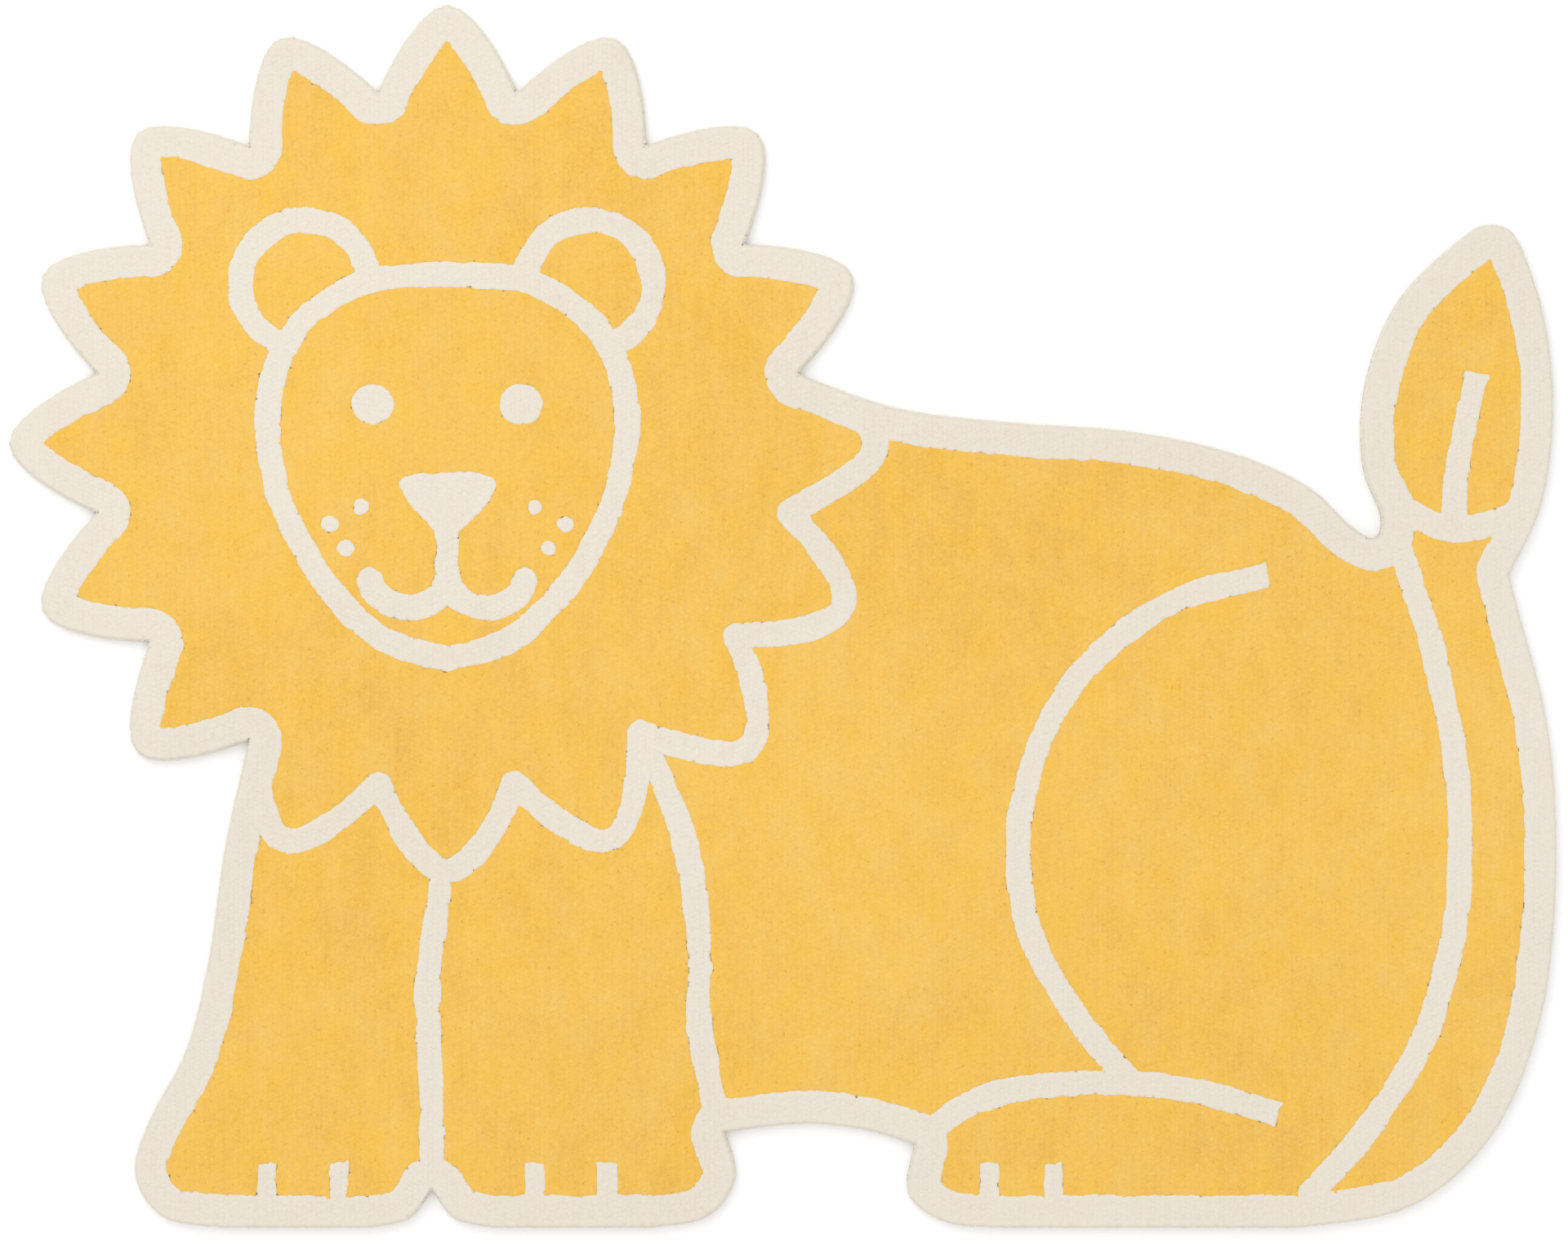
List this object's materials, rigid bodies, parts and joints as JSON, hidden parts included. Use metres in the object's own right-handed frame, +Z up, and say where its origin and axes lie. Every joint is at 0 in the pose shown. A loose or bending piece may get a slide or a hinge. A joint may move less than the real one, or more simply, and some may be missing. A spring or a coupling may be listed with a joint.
{
  "type": "lion shaped kids rug",
  "caption": "Flat hand-tufted wool floor rug for a child's room, cut to the outline of a lying lion, yellow pile with cream lines and a cream rim.",
  "frame": {"origin": "middle of the rug's bounding box, on its underside", "axes": "+X along the lion's body towards its tail, +Y towards the top of its mane, +Z up out of the pile"},
  "size_m": [1.5002, 1.186, 0.012],
  "materials": {
    "yellow_pile": "short dense cut wool pile, matte",
    "cream_pile": "short dense cut wool pile, matte",
    "backing": "plain woven cotton backing cloth, matte"
  },
  "bodies": {
    "root": {"rug": "yellow_pile"}
  },
  "joints": []
}
